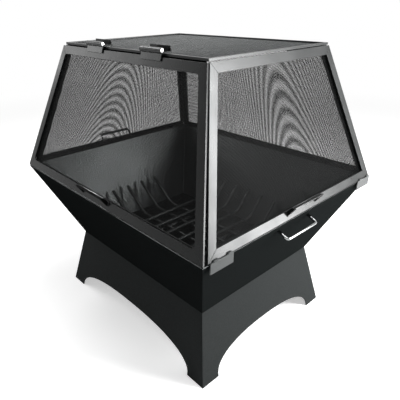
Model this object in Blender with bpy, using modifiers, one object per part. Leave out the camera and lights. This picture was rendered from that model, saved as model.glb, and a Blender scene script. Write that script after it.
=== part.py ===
"""Rectangular wood burning fire pit: a flared base with arched feet, an open bowl, a log grate and a
lift-off spark screen whose front is a lift-up door. Metres, +Z up, long side along Y, door side at -X."""

import math

import bmesh
import bpy
from mathutils import Matrix, Vector

# Heights above the ground.
NECK_Z = 0.222
RIM_Z = 0.4955
SCREEN_Z = 0.499
RING_TOP_Z = 0.908

# Half sizes along X and Y at each level.
FOOT = (0.304, 0.3735)
NECK = (0.2575, 0.321)
RIM = (0.381, 0.4435)
TOP = (0.241, 0.316)
# The door's outer face stands in front of the ring.
DOOR_PROUD = 0.005

# Stock sizes.
SHEET = 0.003
BAR_WIDTH = 0.025
BAR_THICK = 0.006
RING_BAR = 0.0064
WIRE_THICK = 0.0015
GAP = 0.0003
# Points closer than this are one point.
WELD_DISTANCE = 0.00001

# Arched feet.
FOOT_WIDTH = 0.068
ARCH_HEIGHT = 0.086
ARCH_ROUNDNESS = 2.4
ARCH_POINTS = 28
FOOT_TRIM = 0.0015

# Bowl handles.
BOWL_HANDLE_SPACING = 0.136
BOWL_HANDLE_REACH = 0.034
BOWL_HANDLE_RADIUS = 0.004
BOWL_HANDLE_DROP = 0.024
BOWL_HANDLE_OFFSET = 0.023
BOWL_HANDLE_BEND = 0.009
BOWL_HANDLE_SIDES = 4

# Log grate.
GRATE_RADIUS = 0.00635
GRATE_CROSS_COUNT = 6
GRATE_CROSS_PITCH = 0.0635
GRATE_CROSS_BEND = 0.224
GRATE_CROSS_TIP = 0.289
GRATE_LONG_COUNT = 4
GRATE_LONG_PITCH = 0.070
GRATE_LONG_BEND = 0.232
GRATE_LONG_TIP = 0.340
GRATE_TIP_Z = 0.341
GRATE_BEND = 0.020
GRATE_SIDES = 3
GRATE_FOOT_HALF = 0.150
GRATE_FOOT_RISE = 0.016
GRATE_FOOT_BEND = 0.010
GRATE_FOOT_Y = 0.100

# Screen panels, door and their nets.
PANEL_TOP_Z = 0.9006
DOOR_LOW = 0.001
DOOR_CORNER_RADIUS = 0.012
CORNER_STEPS = 4
DOOR_TOP_CLEARANCE = 0.001
END_PANEL_SETBACK_LOW = 0.0165
END_PANEL_SETBACK_HIGH = 0.0035
SILL_DEPTH = 0.0124
SILL_INSET = 0.0064
NET_LAP = 0.012
NET_WIRE = 0.004
NET_COLUMNS = 8
NET_ROWS = 7
TOP_NET_ROWS = 10
TOP_NET_COLUMNS = 7

# Strap handles on the rails: a grip strip with a tab folded down at each end.
STRAP_THICK = 0.003
STRAP_HALF = 0.067
STRAP_NEAR = 0.0168
STRAP_REACH = 0.0303
STRAP_TOP = 0.034
STRAP_TAB_LOW = 0.010
STRAP_TAB_HIGH = 0.0245

# Corner clips that hang over the bowl's end walls.
CLIP_LENGTH = 0.076
CLIP_LOW_Z = 0.471
CLIP_HIGH_Z = 0.5005
CLIP_FRONT_MARGIN = 0.0055
CLIP_BACK_MARGIN = 0.001

# Door hinges.
HINGE_LENGTH = 0.080
HINGE_PLACES = (0.1285, -0.1285)
KNUCKLE_COUNT = 5
KNUCKLE_GAP = 0.0005
KNUCKLE_CLEARANCE = 0.0011
BARREL_RADIUS = 0.0065
AXIS_OUTSIDE_RING = 0.0085
LEAF_THICK = 0.003
LEAF_LIFT = 0.0005
LEAF_REACH = 0.0235
STOP_SETBACK = 0.020
STOP_TOP_Z = 0.924
PIN_RADIUS = 0.003
PIN_HEAD_RADIUS = 0.0052
PIN_HEAD_CROWN_RADIUS = 0.0042
PIN_HEAD_THICK = 0.002
PIN_SIDES = 16
KNUCKLE_CUTTER_SIDES = 24
ARC_STEP = math.radians(20)

# Worked out from the driving dimensions.
DOOR_TOP = (TOP[0] + DOOR_PROUD, TOP[1])
DOOR_LEAN = math.atan2(RIM[0] - DOOR_TOP[0], RING_TOP_Z - SCREEN_Z)
FRONT_REACH = (
    RIM[0]
    - (DOOR_LOW + STRAP_TOP - STRAP_THICK) * math.sin(DOOR_LEAN)
    + STRAP_REACH * math.cos(DOOR_LEAN)
)
# The origin is under the middle of the whole object, and the door's handle makes the front reach further.
ORIGIN_SHIFT = Matrix.Translation(((FRONT_REACH - RIM[0]) / 2, 0, 0))
AXIS_X = -(TOP[0] + AXIS_OUTSIDE_RING)
AXIS_Z = RING_TOP_Z + GAP + BARREL_RADIUS

# Side names as seen by someone facing the door.
OUTWARD = {
    "front": Vector((-1, 0, 0)),
    "back": Vector((1, 0, 0)),
    "right": Vector((0, -1, 0)),
    "left": Vector((0, 1, 0)),
}
# Which of a level's half sizes is a side's distance from the middle; the other is half its length.
REACH = {"front": 0, "back": 0, "right": 1, "left": 1}
# Names of the two upright bars at the local +X and -X ends of each side.
STILE_ENDS = {
    "front": ("right", "left"),
    "back": ("left", "right"),
    "right": ("back", "front"),
    "left": ("front", "back"),
}


def clear_scene():
    for obj in list(bpy.data.objects):
        bpy.data.objects.remove(obj, do_unlink=True)


def new_collection(name):
    collection = bpy.data.collections.new(name)
    bpy.context.scene.collection.children.link(collection)
    return collection


def finish(name, colour, roughness, metallic):
    """A plain Principled material for one kind of surface."""
    material = bpy.data.materials.new(name)
    material.use_nodes = True
    shader = material.node_tree.nodes["Principled BSDF"]
    shader.inputs["Base Color"].default_value = (*colour, 1)
    shader.inputs["Roughness"].default_value = roughness
    shader.inputs["Metallic"].default_value = metallic
    return material


clear_scene()
PIT = new_collection("fire_pit")
CUTTERS = new_collection("cutters")
BASE_PAINT = finish("base_black_paint", (0.020, 0.021, 0.021), 0.45, 0.0)
BOWL_PAINT = finish("bowl_black_paint", (0.016, 0.018, 0.018), 0.40, 0.0)
FRAME_PAINT = finish("frame_grey_paint", (0.060, 0.062, 0.062), 0.35, 0.3)
WIRE_PAINT = finish("screen_wire_paint", (0.030, 0.031, 0.031), 0.50, 0.2)
GRATE_STEEL = finish("grate_bar_steel", (0.025, 0.026, 0.026), 0.50, 0.4)
POLISHED_STEEL = finish("polished_handle_steel", (0.75, 0.75, 0.75), 0.15, 1.0)
HINGE_STEEL = finish("hinge_steel", (0.045, 0.045, 0.045), 0.35, 0.5)


def axis_empty(name, location):
    """An empty that carries the pieces of one moving group."""
    empty = bpy.data.objects.new(name, None)
    empty.matrix_world = ORIGIN_SHIFT @ Matrix.Translation(location)
    PIT.objects.link(empty)
    return empty


SCREEN_GROUP = axis_empty("screen_lift_axis", (0, 0, SCREEN_Z))
DOOR_GROUP = axis_empty("door_hinge_axis", (AXIS_X, 0, AXIS_Z))
GRATE_GROUP = axis_empty("grate_lift_axis", (0, 0, NECK_Z + SHEET))


def settle(obj, place, material, group=None):
    """Put an object in the fire pit's collection at its place, carried by its group's empty."""
    PIT.objects.link(obj)
    obj.data.materials.append(material)
    obj.matrix_basis = ORIGIN_SHIFT @ place
    if group:
        obj.parent = group
        obj.matrix_parent_inverse = group.matrix_basis.inverted()
    return obj


def fill_outline(name, loops, depth):
    """A flat outline of closed loops, extruded half of depth to each side of its own plane."""
    curve = bpy.data.curves.new(name, "CURVE")
    curve.dimensions = "2D"
    curve.fill_mode = "BOTH"
    curve.extrude = depth / 2
    for loop in loops:
        spline = curve.splines.new("POLY")
        spline.points.add(len(loop) - 1)
        for point, (x, y) in zip(spline.points, loop):
            point.co = (x, y, 0, 1)
        spline.use_cyclic_u = True
    return bpy.data.objects.new(name, curve)


def plate(name, loops, thickness, place, material, group=None, depth=0.0):
    """A plate whose outer face lies depth below the local XY plane of its place."""
    obj = fill_outline(name, loops, thickness)
    return settle(obj, place @ Matrix.Translation((0, 0, -depth - thickness / 2)), material, group)


def rod(name, path, radius, sides_level, place, material, group=None):
    """A round bar along a path of points."""
    curve = bpy.data.curves.new(name, "CURVE")
    curve.dimensions = "3D"
    curve.bevel_depth = radius
    curve.bevel_resolution = sides_level
    curve.use_fill_caps = True
    spline = curve.splines.new("POLY")
    spline.points.add(len(path) - 1)
    for point, position in zip(spline.points, path):
        point.co = (*position, 1)
    return settle(bpy.data.objects.new(name, curve), place, material, group)


def box(name, size, centre, material, group=None):
    mesh = bpy.data.meshes.new(name)
    shape = bmesh.new()
    bmesh.ops.create_cube(shape, size=1, matrix=Matrix.Diagonal((*size, 1)))
    shape.to_mesh(mesh)
    shape.free()
    return settle(bpy.data.objects.new(name, mesh), Matrix.Translation(centre), material, group)


def rounded_path(corners, reach, steps=4):
    """The same path with each inner corner drawn as a smooth bend that starts reach before it."""
    path = [Vector(corners[0])]
    for before, corner, after in zip(corners, corners[1:], corners[2:]):
        corner = Vector(corner)
        start = corner + (Vector(before) - corner).normalized() * reach
        end = corner + (Vector(after) - corner).normalized() * reach
        for step in range(steps + 1):
            t = step / steps
            path.append(start * (1 - t) ** 2 + corner * 2 * t * (1 - t) + end * t**2)
    path.append(Vector(corners[-1]))
    return path


def inset(corners, distances):
    """A convex outline with each edge moved inwards by its own distance; edge i starts at corner i."""
    count = len(corners)
    normals = []
    for i in range(count):
        along = Vector(corners[(i + 1) % count]) - Vector(corners[i])
        normals.append(Vector((-along.y, along.x)).normalized())
    moved = []
    for i in range(count):
        first, second = normals[i - 1], normals[i]
        near, far = distances[i - 1], distances[i]
        k = first.dot(second)
        shift = (first - second * k) * near + (second - first * k) * far
        moved.append(Vector(corners[i]) + shift / (1 - k * k))
    return moved


def face_place(side, low_reach, high_reach, low_z, high_z):
    """A sloping side's frame: X along it, Y up the slope, Z outward, origin under its lower edge's middle."""
    outward = OUTWARD[side]
    up = outward * (high_reach - low_reach) + Vector((0, 0, high_z - low_z))
    up.normalize()
    along = Vector((-outward.y, outward.x, 0))
    normal = along.cross(up)
    place = Matrix((along, up, normal)).transposed().to_4x4()
    place.translation = outward * low_reach + Vector((0, 0, low_z))
    return place


class Face:
    """One side of a four-sided flared body between two levels."""

    def __init__(self, side, low_level, high_level, low_z, high_z):
        reach = REACH[side]
        rise = high_z - low_z
        self.place = face_place(side, low_level[reach], high_level[reach], low_z, high_z)
        self.length = math.hypot(high_level[reach] - low_level[reach], rise)
        self.low = low_level[1 - reach]
        self.high = high_level[1 - reach]
        self.low_z = low_z
        self.slope_per_height = self.length / rise

    def slope_at(self, z):
        """Distance up the face at a height."""
        return (z - self.low_z) * self.slope_per_height

    def half(self, up):
        return self.low + (self.high - self.low) * up / self.length

    def outline(self, low, high, left_trim=(0, 0), right_trim=(0, 0)):
        """Corners of the face from one slope distance to another, each end trimmed along the face."""
        return [
            (-self.half(low) + left_trim[0], low),
            (self.half(low) - right_trim[0], low),
            (self.half(high) - right_trim[1], high),
            (-self.half(high) + left_trim[1], high),
        ]


def butt_inset(side, thickness):
    """The front and back plates stop short of the end plates, which run through to the corners."""
    if side in ("front", "back"):
        return thickness + 2 * GAP
    return 0.0


def mesh_from(obj):
    """A curve object turned into a mesh object with its caps welded, so that it can be cut."""
    bpy.context.view_layer.update()
    evaluated = obj.evaluated_get(bpy.context.evaluated_depsgraph_get())
    mesh = bpy.data.meshes.new_from_object(evaluated)
    shape = bmesh.new()
    shape.from_mesh(mesh)
    bmesh.ops.remove_doubles(shape, verts=shape.verts, dist=WELD_DISTANCE)
    shape.to_mesh(mesh)
    shape.free()
    name = obj.name
    solid = bpy.data.objects.new(name + "_solid", mesh)
    solid.parent = obj.parent
    solid.matrix_parent_inverse = obj.matrix_parent_inverse
    solid.matrix_basis = obj.matrix_basis
    PIT.objects.link(solid)
    bpy.data.objects.remove(obj, do_unlink=True)
    solid.name = name
    return solid


def cutter(name, shape, place):
    """A hidden solid that cuts others."""
    mesh = bpy.data.meshes.new(name)
    shape.to_mesh(mesh)
    shape.free()
    obj = bpy.data.objects.new(name, mesh)
    obj.matrix_basis = ORIGIN_SHIFT @ place
    obj.hide_render = True
    obj.display_type = "WIRE"
    CUTTERS.objects.link(obj)
    return obj


def cut(obj, tool):
    modifier = obj.modifiers.new("cut", "BOOLEAN")
    modifier.operation = "DIFFERENCE"
    modifier.object = tool
    modifier.solver = "EXACT"


def arch(half_width, height):
    """Points of a flattened arch from its left foot to its right foot."""
    points = []
    for step in range(ARCH_POINTS + 1):
        angle = math.pi * (1 - step / ARCH_POINTS)
        x = math.copysign(abs(math.cos(angle)) ** (2 / ARCH_ROUNDNESS), math.cos(angle))
        y = abs(math.sin(angle)) ** (2 / ARCH_ROUNDNESS)
        points.append((half_width * x, height * y))
    return points


def make_base():
    """Four flared plates with an arch between their feet, trimmed level with the ground."""
    shape = bmesh.new()
    size = Matrix.Diagonal((2 * RIM[0], 2 * RIM[1], 2 * ARCH_HEIGHT, 1))
    bmesh.ops.create_cube(shape, size=1, matrix=size)
    ground = cutter("ground_cutter", shape, Matrix.Translation((0, 0, -ARCH_HEIGHT)))
    for side in OUTWARD:
        face = Face(side, FOOT, NECK, 0, NECK_Z - GAP)
        trim = (butt_inset(side, SHEET),) * 2
        corners = face.outline(-FOOT_TRIM, face.length, trim, trim)
        half_arch = face.low - FOOT_WIDTH
        under_arch = [(-half_arch, -FOOT_TRIM), *arch(half_arch, ARCH_HEIGHT), (half_arch, -FOOT_TRIM)]
        outline = [corners[0], *under_arch, *corners[1:]]
        panel = plate(f"base_{side}_panel", [outline], SHEET, face.place, BASE_PAINT)
        cut(mesh_from(panel), ground)


def make_bowl():
    """Four walls that widen upwards, and a floor plate between their lower edges."""
    for side in OUTWARD:
        face = Face(side, NECK, RIM, NECK_Z, RIM_Z)
        trim = (butt_inset(side, SHEET),) * 2
        outline = face.outline(0, face.length, trim, trim)
        plate(f"bowl_{side}_wall", [outline], SHEET, face.place, BOWL_PAINT)
    floor_size = []
    for neck, rim in zip(NECK, RIM):
        flare = math.atan2(rim - neck, RIM_Z - NECK_Z)
        floor_size.append(2 * (neck - SHEET / math.cos(flare) - GAP))
    box("bowl_floor", (*floor_size, SHEET), (0, 0, NECK_Z + SHEET / 2), BOWL_PAINT)


def make_bowl_handles():
    """A bent round bar on each end wall, standing square to the wall just under the rim."""
    for side in ("right", "left"):
        face = Face(side, NECK, RIM, NECK_Z, RIM_Z)
        up = face.length - BOWL_HANDLE_DROP
        half = BOWL_HANDLE_SPACING / 2
        corners = [
            (-half, 0, GAP),
            (-half, 0, BOWL_HANDLE_REACH),
            (half, 0, BOWL_HANDLE_REACH),
            (half, 0, GAP),
        ]
        path = rounded_path(corners, BOWL_HANDLE_BEND)
        place = face.place @ Matrix.Translation((-BOWL_HANDLE_OFFSET, up, 0))
        rod(f"bowl_{side}_handle", path, BOWL_HANDLE_RADIUS, BOWL_HANDLE_SIDES, place, POLISHED_STEEL)


def spread(count, pitch):
    """Evenly spaced positions about zero."""
    return [(i - (count - 1) / 2) * pitch for i in range(count)]


def make_grate():
    """Round bars: two staples stand on the floor, long bars lie on them and cross bars on those."""
    floor_z = NECK_Z + SHEET + GAP
    staple_z = floor_z + GRATE_FOOT_RISE
    long_z = staple_z + 2 * GRATE_RADIUS + GAP
    cross_z = long_z + 2 * GRATE_RADIUS + GAP
    for end, y in (("right", -GRATE_FOOT_Y), ("left", GRATE_FOOT_Y)):
        corners = [
            (-GRATE_FOOT_HALF, y, floor_z),
            (-GRATE_FOOT_HALF, y, staple_z),
            (GRATE_FOOT_HALF, y, staple_z),
            (GRATE_FOOT_HALF, y, floor_z),
        ]
        path = rounded_path(corners, GRATE_FOOT_BEND)
        rod(f"grate_{end}_staple", path, GRATE_RADIUS, GRATE_SIDES, Matrix(), GRATE_STEEL, GRATE_GROUP)
    for number, x in enumerate(spread(GRATE_LONG_COUNT, GRATE_LONG_PITCH), 1):
        corners = [
            (x, -GRATE_LONG_TIP, GRATE_TIP_Z),
            (x, -GRATE_LONG_BEND, long_z),
            (x, GRATE_LONG_BEND, long_z),
            (x, GRATE_LONG_TIP, GRATE_TIP_Z),
        ]
        path = rounded_path(corners, GRATE_BEND)
        rod(f"grate_long_bar_{number}", path, GRATE_RADIUS, GRATE_SIDES, Matrix(), GRATE_STEEL, GRATE_GROUP)
    for number, y in enumerate(spread(GRATE_CROSS_COUNT, GRATE_CROSS_PITCH), 1):
        corners = [
            (-GRATE_CROSS_TIP, y, GRATE_TIP_Z),
            (-GRATE_CROSS_BEND, y, cross_z),
            (GRATE_CROSS_BEND, y, cross_z),
            (GRATE_CROSS_TIP, y, GRATE_TIP_Z),
        ]
        path = rounded_path(corners, GRATE_BEND)
        rod(f"grate_cross_bar_{number}", path, GRATE_RADIUS, GRATE_SIDES, Matrix(), GRATE_STEEL, GRATE_GROUP)


def screen_face(side):
    """A face of the screen; the door's stands in front of the ring."""
    high_level = DOOR_TOP if side == "front" else TOP
    return Face(side, RIM, high_level, SCREEN_Z, RING_TOP_Z)


def rounded_corner(corner, along, across, radius):
    """Half of a rounded inner corner, from the mitre to the edge that runs from the corner to along."""
    along = (along - corner).normalized()
    across = (across - corner).normalized()
    bisector = (along + across).normalized()
    half_angle = along.angle(bisector)
    sideways = (along - bisector * along.dot(bisector)).normalized()
    centre = corner + bisector * radius / math.sin(half_angle)
    start = math.asin(GAP / 2 / radius)
    end = math.pi / 2 - half_angle
    points = []
    for step in range(CORNER_STEPS + 1):
        angle = start + (end - start) * step / CORNER_STEPS
        points.append(centre + (sideways * math.sin(angle) - bisector * math.cos(angle)) * radius)
    return points


def make_frame(prefix, side, corners, place, group, radius=0.0):
    """Four flat bars round an opening, mitred at the corners with a hairline between them."""
    inner = inset(corners, [BAR_WIDTH] * 4)
    right_end, left_end = STILE_ENDS[side]
    names = ["bottom_rail", f"{right_end}_stile", "top_rail", f"{left_end}_stile"]
    for i, name in enumerate(names):
        j = (i + 1) % 4
        bar = [corners[i], corners[j], inner[j], inner[i]]
        bar = inset(bar, [0, GAP / 2, 0, GAP / 2])
        if radius:
            far_end = rounded_corner(inner[j], inner[i], inner[(j + 1) % 4], radius)
            near_end = rounded_corner(inner[i], inner[j], inner[i - 1], radius)
            bar = [bar[0], bar[1], *far_end, *reversed(near_end)]
        plate(f"{prefix}_{name}", [bar], BAR_THICK, place, FRAME_PAINT, group)


def net(name, corners, columns, rows, place, depth, group):
    """A wire net as one coarse sheet: square gaps between wires that follow the panel's edges."""
    low_left, low_right, high_right, high_left = [Vector(corner) for corner in corners]

    def point(u, v):
        low = low_left.lerp(low_right, u)
        high = high_left.lerp(high_right, u)
        return low.lerp(high, v)

    loops = [[low_left, low_right, high_right, high_left]]
    for column in range(columns):
        for row in range(rows):
            u0, u1 = column / columns, (column + 1) / columns
            v0, v1 = row / rows, (row + 1) / rows
            cell = [point(u0, v0), point(u1, v0), point(u1, v1), point(u0, v1)]
            loops.append(inset(cell, [NET_WIRE / 2] * 4))
    plate(name, loops, WIRE_THICK, place, WIRE_PAINT, group, depth)


def make_screen_sides():
    """The three fixed panels: a bar frame with a net behind it, and the sill behind the door."""
    door_trim = (END_PANEL_SETBACK_LOW, END_PANEL_SETBACK_HIGH)
    for side in ("right", "back", "left"):
        face = screen_face(side)
        left_trim = door_trim if side == "right" else (0, 0)
        right_trim = door_trim if side == "left" else (0, 0)
        corners = face.outline(0, face.slope_at(PANEL_TOP_Z), left_trim, right_trim)
        ends = butt_inset(side, BAR_THICK)
        corners = inset(corners, [0, ends, 0, ends])
        make_frame(f"screen_{side}", side, corners, face.place, SCREEN_GROUP)
        lap = inset(corners, [NET_LAP] * 4)
        net(f"screen_{side}_net", lap, NET_COLUMNS, NET_ROWS, face.place, BAR_THICK + GAP, SCREEN_GROUP)
    face = screen_face("front")
    sill = inset(face.outline(0, BAR_WIDTH), [0, SILL_INSET, 0, SILL_INSET])
    plate("screen_front_sill", [sill], BAR_THICK, face.place, FRAME_PAINT, SCREEN_GROUP, SILL_DEPTH)


def make_screen_top():
    """A ring bent from square bar, with the top net between its lower edges."""
    half_x, half_y = TOP
    outer = [(-half_x, -half_y), (half_x, -half_y), (half_x, half_y), (-half_x, half_y)]
    inner = inset(outer, [RING_BAR] * 4)
    place = Matrix.Translation((0, 0, RING_TOP_Z))
    plate("screen_top_ring", [outer, inner], RING_BAR, place, FRAME_PAINT, SCREEN_GROUP)
    lap = inset(inner, [GAP] * 4)
    depth = RING_BAR - GAP - WIRE_THICK
    net("screen_top_net", lap, TOP_NET_COLUMNS, TOP_NET_ROWS, place, depth, SCREEN_GROUP)


def make_door():
    """The lift-up door covers the whole front face."""
    face = screen_face("front")
    high = face.slope_at(PANEL_TOP_Z) - DOOR_TOP_CLEARANCE
    corners = face.outline(DOOR_LOW, high)
    make_frame("door", "front", corners, face.place, DOOR_GROUP, DOOR_CORNER_RADIUS)
    lap = inset(corners, [NET_LAP] * 4)
    net("door_net", lap, NET_COLUMNS, NET_ROWS, face.place, BAR_THICK + GAP, DOOR_GROUP)


def make_strap_handle(name, face, low, group):
    """A folded sheet: a grip strip above the rail's edge, and a slanting tab back to the rail at each end."""
    tab = [
        (low + STRAP_TAB_LOW, GAP),
        (low + STRAP_TOP, STRAP_REACH),
        (low + STRAP_TOP, STRAP_NEAR),
        (low + STRAP_TAB_HIGH, GAP),
    ]
    mesh = bpy.data.meshes.new(name)
    shape = bmesh.new()
    ends = []
    for x in (-STRAP_HALF, STRAP_HALF):
        ends.append([shape.verts.new((x, up, out)) for up, out in tab])
    left, right = ends
    shape.faces.new(left)
    shape.faces.new([right[1], left[1], left[2], right[2]][::-1])
    shape.faces.new(right[::-1])
    bmesh.ops.recalc_face_normals(shape, faces=shape.faces)
    shape.to_mesh(mesh)
    shape.free()
    strap = bpy.data.objects.new(name, mesh)
    sheet = strap.modifiers.new("sheet", "SOLIDIFY")
    sheet.solidify_mode = "NON_MANIFOLD"
    sheet.nonmanifold_thickness_mode = "CONSTRAINTS"
    sheet.thickness = STRAP_THICK
    sheet.offset = -1
    settle(strap, face.place, FRAME_PAINT, group)


def make_strap_handles():
    make_strap_handle("door_handle", screen_face("front"), DOOR_LOW, DOOR_GROUP)
    for side in ("right", "left"):
        make_strap_handle(f"screen_{side}_handle", screen_face(side), 0, SCREEN_GROUP)


def make_clips():
    """Short plates welded under the end rails; they hang outside the bowl and keep the screen in place."""
    front_end = -RIM[0] + END_PANEL_SETBACK_LOW + CLIP_FRONT_MARGIN + CLIP_LENGTH / 2
    back_end = RIM[0] - CLIP_BACK_MARGIN - CLIP_LENGTH / 2
    height = CLIP_HIGH_Z - CLIP_LOW_Z
    y = RIM[1] + GAP + SHEET / 2
    for side, sign in (("right", -1), ("left", 1)):
        for end, x in (("front", front_end), ("back", back_end)):
            centre = (x, sign * y, CLIP_LOW_Z + height / 2)
            box(f"clip_{side}_{end}", (CLIP_LENGTH, SHEET, height), centre, FRAME_PAINT, SCREEN_GROUP)


def arc(radius, start, end):
    """Points round a circle about zero from one angle to another."""
    steps = math.ceil((end - start) / ARC_STEP)
    angles = [start + (end - start) * i / steps for i in range(steps + 1)]
    return [(radius * math.cos(angle), radius * math.sin(angle)) for angle in angles]


def barrel_cutters(name, middle_y, knuckles):
    """Short cylinders that clear the other leaf's knuckles, and the bore for the pin."""
    along_y = Matrix.Rotation(math.radians(-90), 4, "X")
    pitch = HINGE_LENGTH / KNUCKLE_COUNT
    shape = bmesh.new()
    for number in knuckles:
        low = -HINGE_LENGTH / 2 + number * pitch - KNUCKLE_GAP / 2
        high = low + pitch + KNUCKLE_GAP
        if number == 0:
            low -= pitch
        if number == KNUCKLE_COUNT - 1:
            high += pitch
        bmesh.ops.create_cone(
            shape,
            cap_ends=True,
            segments=KNUCKLE_CUTTER_SIDES,
            radius1=BARREL_RADIUS + KNUCKLE_CLEARANCE,
            radius2=BARREL_RADIUS + KNUCKLE_CLEARANCE,
            depth=high - low,
            matrix=Matrix.Translation((0, (low + high) / 2, 0)) @ along_y,
        )
    place = Matrix.Translation((AXIS_X, middle_y, AXIS_Z))
    knuckle_tool = cutter(name + "_knuckle_cutter", shape, place)
    shape = bmesh.new()
    bmesh.ops.create_cone(
        shape,
        cap_ends=True,
        segments=PIN_SIDES,
        radius1=PIN_RADIUS + GAP,
        radius2=PIN_RADIUS + GAP,
        depth=2 * HINGE_LENGTH,
        matrix=along_y,
    )
    return knuckle_tool, cutter(name + "_bore_cutter", shape, place)


def make_hinge_leaf(name, outline, axes, middle_y, other_knuckles, group):
    """A leaf rolled round the pin, drawn across the hinge and extruded along it."""
    place = axes.to_4x4()
    place.translation = (AXIS_X, middle_y, AXIS_Z)
    leaf = settle(fill_outline(name, [outline], HINGE_LENGTH), place, HINGE_STEEL, group)
    leaf = mesh_from(leaf)
    for tool in barrel_cutters(name, middle_y, other_knuckles):
        cut(leaf, tool)


def make_hinge_pin(name, middle_y):
    """A turned pin with a flat head at the end nearest the bowl's handle."""
    tip = HINGE_LENGTH / 2
    head = -HINGE_LENGTH / 2 - GAP
    profile = [
        (0, tip),
        (PIN_RADIUS, tip),
        (PIN_RADIUS, head),
        (PIN_HEAD_RADIUS, head),
        (PIN_HEAD_RADIUS, head - PIN_HEAD_THICK / 2),
        (PIN_HEAD_CROWN_RADIUS, head - PIN_HEAD_THICK),
        (0, head - PIN_HEAD_THICK),
    ]
    mesh = bpy.data.meshes.new(name)
    shape = bmesh.new()
    vertices = [shape.verts.new((x, 0, z)) for x, z in profile]
    for first, second in zip(vertices, vertices[1:]):
        shape.edges.new((first, second))
    shape.to_mesh(mesh)
    shape.free()
    pin = bpy.data.objects.new(name, mesh)
    turned = pin.modifiers.new("turned", "SCREW")
    turned.steps = PIN_SIDES
    turned.render_steps = PIN_SIDES
    turned.use_merge_vertices = True
    turned.merge_threshold = WELD_DISTANCE
    along_y = Matrix.Rotation(math.radians(-90), 4, "X")
    settle(pin, Matrix.Translation((AXIS_X, middle_y, AXIS_Z)) @ along_y, HINGE_STEEL, SCREEN_GROUP)


def fixed_leaf_outline():
    """The leaf on the ring: a foot lying on the bar and an upturned edge that stops the open door."""
    top = -BARREL_RADIUS + LEAF_THICK
    stop = AXIS_OUTSIDE_RING + STOP_SETBACK
    start = math.asin(top / BARREL_RADIUS)
    return [
        (stop + LEAF_THICK, -BARREL_RADIUS),
        (stop + LEAF_THICK, STOP_TOP_Z - AXIS_Z),
        (stop, STOP_TOP_Z - AXIS_Z),
        (stop, top),
        *arc(BARREL_RADIUS, start, math.radians(270)),
    ]


def door_leaf_outline():
    """The leaf on the door, drawn with X down the slope and Y outward from the hinge axis."""
    axis_out = AXIS_OUTSIDE_RING - DOOR_PROUD
    axis_off_face = axis_out * math.cos(DOOR_LEAN) + (AXIS_Z - RING_TOP_Z) * math.sin(DOOR_LEAN)
    inner = LEAF_LIFT - axis_off_face
    outer = inner + LEAF_THICK
    start = math.asin(outer / BARREL_RADIUS)
    end = math.asin(inner / BARREL_RADIUS) + 2 * math.pi
    return [(LEAF_REACH, inner), (LEAF_REACH, outer), *arc(BARREL_RADIUS, start, end)]


def make_hinges():
    """Two butt hinges along the front of the ring."""
    across = Matrix(((1, 0, 0), (0, 0, -1), (0, 1, 0)))
    down_slope = Matrix(
        (
            (-math.sin(DOOR_LEAN), -math.cos(DOOR_LEAN), 0),
            (0, 0, 1),
            (-math.cos(DOOR_LEAN), math.sin(DOOR_LEAN), 0),
        )
    )
    fixed = [number for number in range(KNUCKLE_COUNT) if number % 2 == 0]
    moving = [number for number in range(KNUCKLE_COUNT) if number % 2]
    for end, y in zip(("left", "right"), HINGE_PLACES):
        make_hinge_leaf(f"hinge_{end}_fixed_leaf", fixed_leaf_outline(), across, y, moving, SCREEN_GROUP)
        make_hinge_leaf(f"hinge_{end}_door_leaf", door_leaf_outline(), down_slope, y, fixed, DOOR_GROUP)
        make_hinge_pin(f"hinge_{end}_pin", y)


make_base()
make_bowl()
make_bowl_handles()
make_grate()
make_screen_sides()
make_screen_top()
make_door()
make_strap_handles()
make_clips()
make_hinges()
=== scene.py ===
# %% [markdown]
# # A wood burning fire pit
# The real object is a black steel bowl on a flared base with arched feet, with a round-bar log grate inside
# and a spark screen on top: four sloping frames of flat bar with wire net behind them, and the front one
# is a door that swings up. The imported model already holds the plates, bars and joints at their real size.
# This script gives them their finish, and makes what the solids only block in: the fine wire nets, the
# smooth bends of the round bars, the polished handles, the rolled lips and the weld beads.

import math

import bpy
import numpy as np
from mathutils import Matrix, Vector


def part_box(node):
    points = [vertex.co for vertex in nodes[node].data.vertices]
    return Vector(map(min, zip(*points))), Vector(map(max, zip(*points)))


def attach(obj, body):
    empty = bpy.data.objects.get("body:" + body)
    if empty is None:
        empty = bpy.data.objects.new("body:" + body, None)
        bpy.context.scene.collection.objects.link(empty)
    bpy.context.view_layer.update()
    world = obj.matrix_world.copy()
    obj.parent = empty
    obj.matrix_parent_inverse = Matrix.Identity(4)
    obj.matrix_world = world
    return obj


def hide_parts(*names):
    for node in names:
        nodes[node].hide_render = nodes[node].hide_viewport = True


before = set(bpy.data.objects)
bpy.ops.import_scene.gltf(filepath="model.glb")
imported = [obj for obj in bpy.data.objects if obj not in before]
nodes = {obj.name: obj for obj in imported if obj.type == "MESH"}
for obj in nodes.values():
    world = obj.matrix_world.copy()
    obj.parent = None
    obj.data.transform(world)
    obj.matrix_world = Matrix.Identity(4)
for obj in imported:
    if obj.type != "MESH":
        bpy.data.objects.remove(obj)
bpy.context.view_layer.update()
MM = 0.001

# %% [markdown]
# ## Colour and node helpers
# Colours here are written as the hex values that a painter or a web page would use, which are encoded for
# the eye (sRGB). A shader wants light energy, which is linear, so one function decodes them. Materials are
# trees of nodes. Writing each node with its settings and links in one call keeps such a tree readable.

# %% Turn a hex colour into linear light


def linear(hex_colour):
    """An sRGB hex colour such as "#808080" as linear red, green, blue and an alpha of one."""
    channels = [int(hex_colour[i : i + 2], 16) / 255 for i in (1, 3, 5)]
    decoded = [c / 12.92 if c <= 0.04045 else ((c + 0.055) / 1.055) ** 2.4 for c in channels]
    return (*decoded, 1.0)


print("middle grey is", round(linear("#808080")[0], 3), "in linear light")

# %% Add a node with its settings and links


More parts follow.
